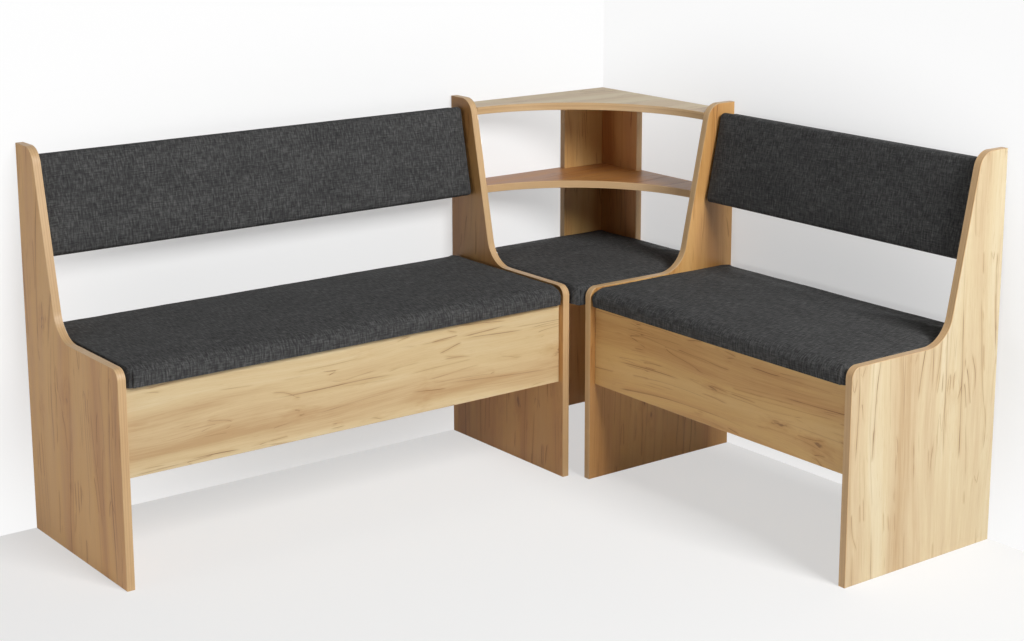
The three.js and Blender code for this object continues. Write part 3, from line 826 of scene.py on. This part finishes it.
def filled(piece, first_held, most_move):
    """Blows the shell up a little, as the foam does, and keeps the result in the mesh."""
    before = [vertex.co.copy() for vertex in piece.data.vertices]
    held = piece.vertex_groups.new(name="held")
    held.add(list(range(first_held, len(before))), 1.0, "REPLACE")
    cloth = piece.modifiers.new("filling", "CLOTH")
    cloth.settings.quality = 4
    cloth.settings.mass = 0.4
    cloth.settings.use_pressure = True
    cloth.settings.uniform_pressure_force = 4
    cloth.settings.effector_weights.gravity = 0
    cloth.settings.vertex_group_mass = "held"
    scene = bpy.context.scene
    for number in range(1, fill_frames + 1):
        scene.frame_set(number)
    graph = bpy.context.evaluated_depsgraph_get()
    after = [vertex.co.copy() for vertex in piece.evaluated_get(graph).data.vertices]
    piece.modifiers.clear()
    piece.vertex_groups.clear()
    scene.frame_set(1)
    for vertex, start, end in zip(piece.data.vertices, before, after):
        move = end - start
        vertex.co = start + move * (most_move / (most_move + move.length))


def refined(piece):
    """One level of subdivision, kept in the mesh."""
    finer = piece.modifiers.new("finer", "SUBSURF")
    finer.levels = finer.render_levels = 1
    mesh = evaluated_mesh(piece)
    piece.modifiers.clear()
    piece.data = mesh


def held_in(value):
    return min(1.0, max(0.0, value))


groove_depth = 1.2 * mm
groove_width = 1.4 * mm
lap_height = 2.4 * mm
lap_width = 2.4 * mm
lap_offset = 4.0 * mm
fold_top = 1 * mm
fold_fade = 9 * mm
fold_start = 0.35
fold_blend = 0.4


def front_fold(point, low, high, radius, height, fold_turn):
    """The cover is folded at each front corner: a lap of cloth with a groove beside it.
    fold_turn is the place of the groove round the corner, from the end (0) to the front (90)."""
    a, b, c = point
    for side, sign in ((low[0], 1), (high[0], -1)):
        p = radius - sign * (a - side)
        q = radius - (high[1] - b)
        if p <= 0 or q <= 0:
            continue
        reach = math.hypot(p, q)
        arc = (math.atan2(q, p) - math.radians(fold_turn)) * radius
        fade = held_in((height + fold_top - c) / fold_fade)
        fade *= held_in((reach / radius - fold_start) / fold_blend)
        groove = -groove_depth * math.exp(-(arc / groove_width) ** 2)
        lap = lap_height * math.exp(-((arc - lap_offset) / lap_width) ** 2)
        scale = (reach + (groove + lap) * fade) / reach
        a = side + sign * (radius - p * scale)
        b = high[1] - (radius - q * scale)
    return a, b, c


overhang_fade = 30 * mm


def overhung(point, low, high, height, overhang):
    """Foam stands out over the board's edge at the two ends and the front, most at half height.
    overhang is how far, at the ends and at the front."""
    a, b, c = point
    share = math.sin(math.pi * held_in(c / height))
    at_start, at_stop, at_front = (
        max(0.0, 1 - gap / overhang_fade) for gap in (a - low[0], high[0] - a, high[1] - b))
    return a + overhang[0] * share * (at_stop - at_start), b + overhang[1] * share * at_front, c


broad_crease = 0.9 * mm
fine_crease = 0.35 * mm


def creased(a, b, c, seed):
    """Slow unevenness of hand-pulled cloth."""
    broad = noise.noise(Vector((a * 7, b * 9, seed)))
    fine = noise.noise(Vector((a * 22, b * 30, seed + 5)))
    return c + broad_crease * broad + fine_crease * fine


board_rim = 4.2 * mm
board_thickness = 16 * mm
board_room = board_thickness + 0.2 * mm


def hollowed(piece):
    """Opens the bottom for the board: a rim, four walls and a ceiling, in the pad's own axes."""
    shell = opened(piece.data)
    lowest = min(vertex.co.z for vertex in shell.verts)
    following = next(edge for edge in shell.edges if edge.is_boundary)
    loop = [following.verts[0]]
    while True:
        nearby = following.other_vert(loop[-1])
        if nearby is loop[0]:
            break
        loop.append(nearby)
        following = next(
            edge for edge in nearby.link_edges if edge.is_boundary and edge is not following)
    centre = sum((vertex.co for vertex in loop), Vector()) / len(loop)
    inner = []
    for before, vertex, after in neighbours(loop):
        along = after.co - before.co
        inward = Vector((-along.y, along.x, 0)).normalized()
        if inward.dot(centre - vertex.co) < 0:
            inward = -inward
        inner.append(vertex.co + inward * board_rim)
    rings = [loop]
    for height in (lowest, board_room):
        rings.append([shell.verts.new((point.x, point.y, height)) for point in inner])
    for outer, inner in zip(rings, rings[1:]):
        for corners in zip(outer, turned_on(outer), turned_on(inner), inner):
            shell.faces.new(corners)
    bmesh.ops.triangulate(shell, faces=[shell.faces.new(rings[-1])])
    bmesh.ops.recalc_face_normals(shell, faces=shell.faces)
    return shell


filled_share = 0.6
creased_share = 0.8


def cushion(name, low, high, place, seed, radius, noses, height, nose_height, crown, most_move,
            spacing, fold_turn=None, square=(0, 0), overhang=(0, 0)):
    """A pad with room for its board, made in its own axes from low to high in plan and then
    put in place. It starts a little low, because the filling lifts it."""
    unfilled = height - most_move * filled_share
    points, faces, first_held = pad_shell(
        low, high, radius, noses, unfilled, nose_height, crown, spacing, square)
    mesh = new_mesh(name, points, faces)
    mesh.validate()
    piece = place_object(name, mesh)
    filled(piece, first_held, most_move)
    shell = opened(piece.data)
    bottom = [face for face in shell.faces if len(face.verts) > 4]
    bmesh.ops.delete(shell, geom=bottom, context="FACES_ONLY")
    for vertex in shell.verts:
        if vertex.co.z > height * creased_share:
            vertex.co.z = creased(*vertex.co, seed)
    shell.to_mesh(piece.data)
    shell.free()
    refined(piece)
    for vertex in piece.data.vertices:
        vertex.co.z = max(0.0, vertex.co.z)
        vertex.co = overhung(vertex.co, low, high, height, overhang)
        if fold_turn is not None:
            vertex.co = front_fold(vertex.co, low, high, radius, height, fold_turn)
    shell = hollowed(piece)
    for vertex in shell.verts:
        vertex.co = place(*vertex.co)
    finished(shell, piece.data)
    return piece


def upholstered(pad, material, body, node):
    dress(pad.data, material)
    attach(pad, body)
    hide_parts(node)


lid_underside = 416.3 * mm


def on_lid(at, along, depth, high):
    return at(along, depth, lid_underside + high)


foam = {"height": 45 * mm, "nose_height": 24 * mm, "crown": 2 * mm, "most_move": 3 * mm,
        "spacing": 9 * mm}
seat_shape = foam | {
    "radius": 26 * mm, "noses": ((4 * mm, 4 * mm), (24 * mm, 24 * mm)), "fold_turn": 60,
    "square": (0.8, 0.15), "overhang": (1.4 * mm, 5 * mm)}
seat_creases = {"long": 3.0, "short": 11.0}
for bench, at in benches.items():
    node = f"{bench}_seat_cushion"
    (start, stop), (rear, front) = reach_of(bench, node)
    pad = cushion(f"{bench}_seat_pad", (start, rear), (stop, front), partial(on_lid, at),
                  seat_creases[bench], **seat_shape)
    upholstered(pad, graphite[bench], f"{bench}_seat", node)


# The hems of the seat covers: the cloth is turned under the board and stapled there, clear of
# the box's edges. A staple is a wire bent into a square U, with its crown on the cloth and its
# legs in the board.
hem_thickness = 0.22 * mm
hem_corner_steps = 6
hem_side_steps = 26
hem_inset = 2.2 * mm
hem_inner_radius = 6 * mm
hem_raggedness = 1.6 * mm
hem_ragged_step = 0.37


def hem_ring(corners, radius):
    """The points round a plan with its corners rounded: steps to a corner, then along the side."""
    points = []
    for before, point, after in neighbours(corners):
        start = point + (before - point).normalized() * radius
        end = point + (after - point).normalized() * radius
        for step in range(hem_corner_steps + 1):
            share = step / hem_corner_steps
            points.append(start.lerp(point, share).lerp(point.lerp(end, share), share))
        beyond = after + (point - after).normalized() * radius
        for step in range(1, hem_side_steps):
            points.append(end.lerp(beyond, step / hem_side_steps))
    return points


def drawn_in(corners, widths):
    """The plan's corners moved inwards, each side by its own width. The corners run from the
    first axis to the second."""
    moved = []
    for index, (before, point, after) in enumerate(neighbours(corners)):
        shift = Vector((0, 0))
        for side, width in ((point - before, widths[index - 1]), (after - point, widths[index])):
            side = side.normalized()
            shift += Vector((-side.y, side.x)) * width
        moved.append(point + shift)
    return moved


def cover_hem(name, corners, widths, radius, place, body, material):
    outer = hem_ring(corners, radius)
    inner = []
    for index, point in enumerate(hem_ring(drawn_in(corners, widths), hem_inner_radius)):
        spot = Vector((index * hem_ragged_step, widths[0] * 100, 0))
        ragged = noise.noise(spot) * hem_raggedness
        inner.append(point + (point - outer[index]).normalized() * ragged)
    points = []
    rings = []
    for ring, height in ((outer, 0), (outer, hem_thickness), (inner, hem_thickness), (inner, 0)):
        rings.append(list(range(len(points), len(points) + len(ring))))
        points += [place(point.x, point.y, -height) for point in ring]
    faces = []
    for first, second in zip(rings, turned_on(rings)):
        faces += zip(first, turned_on(first), turned_on(second), second)
    mesh = new_mesh(name, points, faces)
    mesh.materials.append(material)
    finished(opened(mesh), mesh)
    new_piece(name, mesh, body)


bend_share = 2.2
most_askew = 0.22
staples, inside = small_part_tree("staples", ("Crown", "Leg", "Wire"))
offset = minus(staples, put(staples, "GeometryNodeInputIndex"), 1.5)
half = times(staples, inside["Crown"], 0.5)
across = times(staples, maths(staples, "SIGN", offset), half)
is_tip = maths(staples, "GREATER_THAN", maths(staples, "ABSOLUTE", offset), 1.0)
height = times(staples, times(staples, is_tip, inside["Leg"]), -1.0)
line = put(staples, "GeometryNodeMeshLine", {"Count": 4})
bent = put(staples, "GeometryNodeSetPosition", {
    "Geometry": line, "Position": vector_of(staples, across, 0.0, height)})
path = put(staples, "GeometryNodeMeshToCurve", {0: bent})
bend = times(staples, inside["Wire"], bend_share)
rounded = put(staples, "GeometryNodeFilletCurve", {
    "Curve": path, "Count": 3, "Radius": bend}, mode="POLY")
ring = put(staples, "GeometryNodeCurvePrimitiveCircle", {
    "Resolution": 8, "Radius": inside["Wire"]})
wire = put(staples, "GeometryNodeCurveToMesh", {
    "Curve": rounded, "Profile Curve": ring, "Fill Caps": True})
spread(staples, inside, wire, -most_askew, most_askew)

staple = {"Crown": 10 * mm, "Leg": 7 * mm, "Wire": 0.3 * mm, "Finish": plated_steel}
staple_pitch = 46 * mm


def staple_row(name, corners, widths, place, body):
    """Staples along the middle of the hem, each lying along its side of the board."""
    line = drawn_in(corners, widths)
    origin = place(0, 0, 0)
    rows = []
    for axis, lengthwise in enumerate((place(1, 0, 0) - origin, place(0, 1, 0) - origin)):
        spots = []
        for start, end in zip(line, turned_on(line)):
            if abs((end - start).normalized()[axis]) > 0.5:
                count = max(1, round((end - start).length / staple_pitch))
                spots += [place(*start.lerp(end, (step + 0.5) / count), -hem_thickness)
                          for step in range(count)]
        rows.append((spots, aim(place(0, 0, -1) - origin, lengthwise)))
    fasteners(name, staples, rows, staple, body)


def hemmed(name, corners, place, body, material, radius, widths, insets):
    """The hem and the staples under a cushion. The hem's widths and the staples' distances
    from the edge are given side by side."""
    plan = drawn_in([Vector(point) for point in corners], [hem_inset] * len(corners))
    cover_hem(f"{name}_cover_hem", plan, widths, radius, place, body, material)
    staple_row(f"{name}_staples", plan, insets, place, body)


for bench, at in benches.items():
    (start, stop), (rear, front) = reach_of(bench, f"{bench}_seat_cushion")
    hemmed(f"{bench}_seat", ((start, rear), (stop, rear), (stop, front), (start, front)),
           partial(on_lid, at), f"{bench}_seat", graphite[bench], radius=24 * mm,
           widths=[30 * mm, 34 * mm, 44 * mm, 34 * mm], insets=[16 * mm, 22 * mm, 35 * mm, 22 * mm])


# The backrest cushions: thinner foam on a sloping board, with flat fronts and soft edges.
# The whole backrest is screwed to the side panels with four small steel angles.
slope = math.atan(82 / 391)
back_foot_depth = 51.43 * mm
back_foot_height = 609.56 * mm
back_length = 217.63 * mm
back_shape = {
    "radius": 12 * mm, "noses": ((9 * mm, 9 * mm),) * 2, "height": 46 * mm, "nose_height": 9 * mm,
    "crown": 2 * mm, "most_move": 2 * mm, "spacing": 8 * mm}
back_creases = {"long": 21.0, "short": 31.0}


def on_slope(at, along, rise, out):
    """A point of a backrest: along the bench, up its slope and out from its rear face."""
    depth = back_foot_depth - rise * math.sin(slope) + out * math.cos(slope)
    height = back_foot_height + rise * math.cos(slope) + out * math.sin(slope)
    return at(along, depth, height)


for bench, at in benches.items():
    node = f"{bench}_back_cushion"
    start, stop = reach_of(bench, node)[0]
    place = partial(on_slope, at)
    pad = cushion(f"{bench}_back_pad", (start, 0), (stop, back_length), place,
                  back_creases[bench], **back_shape)
    upholstered(pad, graphite[bench], "frame", node)
    hemmed(f"{bench}_back", ((start, 0), (stop, 0), (stop, back_length), (start, back_length)),
           place, "frame", graphite[bench],
           radius=10 * mm, widths=[34 * mm] * 4, insets=[22 * mm] * 4)


# The steel angles behind the backrests, two at each end, with pan-head screws into the board
# and into the side panel.
bracket_hole_reach = 11 * mm
bracket_thickness = 2 * mm
bracket_gap = 0.3 * mm
bracket_middles = {"lower": 36 * mm, "upper": 121 * mm}
bracket_screw = {
    "Head radius": 3.7 * mm, "Head height": 2.0 * mm, "Recess width": 0.9 * mm,
    "Shank radius": 1.7 * mm, "Shank length": 13 * mm, "Finish": plated_steel,
}
for bench, at in benches.items():
    start, stop = reach_of(bench, f"{bench}_back_cushion")[0]
    rear_face = -(bracket_gap + bracket_thickness)
    to_rear = on_slope(at, 0, 0, -1) - on_slope(at, 0, 0, 0)
    into_board = []
    into_panel = {1: [], -1: []}
    for end in ("outer", "inner"):
        for level, middle in bracket_middles.items():
            node = f"{bench}_back_bracket_{end}_{level}"
            finish_node(node, plated_steel)
            low, high = reach_of(bench, node)[0]
            sign, panel_end = (1, low) if low < (start + stop) / 2 else (-1, high)
            into_board.append(
                on_slope(at, panel_end + sign * bracket_hole_reach, middle, rear_face))
            into_panel[sign].append(on_slope(
                at, panel_end + sign * bracket_thickness, middle,
                -bracket_gap - bracket_hole_reach))
    away = at(1, 0, 0) - at(0, 0, 0)
    rows = ((into_board, aim(to_rear)), (into_panel[1], aim(away)), (into_panel[-1], aim(-away)))
    fasteners(f"{bench}_bracket_screws", screws, rows, bracket_screw, "frame")


# The corner unit: two column boards folded into the corner, and two shelves with a concave
# front, all of the same oak board.
# Painted light and shade in the tints: amber on the left column board in part shade, russet on the
# right column board and the middle shelf in the deep shade of the corner and under the top shelf,
# pale on the top shelf, which is open to the light above.
face_with_oak(
    11, ("column_left_board", Z, Y, amber), ("column_right_board", Z, X, russet),
    ("middle_shelf", X, Z, russet), ("top_shelf", X, Z, pale))


# The corner seat cushion: the same foam and cover, cut out round the column at the back and
# rounded at the front, where it shows between the two inner side panels.
corner_shape = foam | {
    "radius": 30 * mm, "noses": ((14 * mm, 14 * mm),) * 2, "fold_turn": 50}
corner_creases = 41.0
column_gap = 2.5 * mm
columns = ("column_left_board", "column_right_board")
(near_along, far_along), (near_depth, far_depth) = reach_of("long", "corner_seat_cushion")
place = partial(on_lid, on_long)
corner_pad = cushion("corner_seat_pad", (near_along, near_depth), (far_along, far_depth), place,
                     corner_creases, **corner_shape)
column_room = bmesh.new()
for node in columns:
    low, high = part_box(node)
    size = high - low + Vector((2 * column_gap, 2 * column_gap, 0))
    for vertex in bmesh.ops.create_cube(column_room, size=1)["verts"]:
        vertex.co = Vector([vertex.co[k] * size[k] + (low[k] + high[k]) / 2 for k in range(3)])
room_mesh = bpy.data.meshes.new("column_room")
column_room.to_mesh(room_mesh)
column_room.free()
cutter = place_object("column_room", room_mesh)
cut = corner_pad.modifiers.new("cut", "BOOLEAN")
cut.operation = "DIFFERENCE"
cut.solver = "MANIFOLD"
cut.object = cutter
notched = evaluated_mesh(corner_pad)
corner_pad.modifiers.clear()
corner_pad.data = notched
bpy.data.objects.remove(cutter)
finished(opened(notched), notched)
(left_along, left_depth), (right_along, right_depth) = (
    [far + column_gap for near, far in reach_of("long", node)] for node in columns)
hemmed("corner_seat", (
    (left_along, near_depth), (far_along, near_depth), (far_along, far_depth),
    (near_along, far_depth), (near_along, right_depth), (right_along, right_depth),
    (right_along, left_depth), (left_along, left_depth),
), place, "frame", graphite["long"], radius=8 * mm, widths=[30 * mm] * 8, insets=[22 * mm] * 8)
upholstered(corner_pad, graphite["long"], "frame", "corner_seat_cushion")
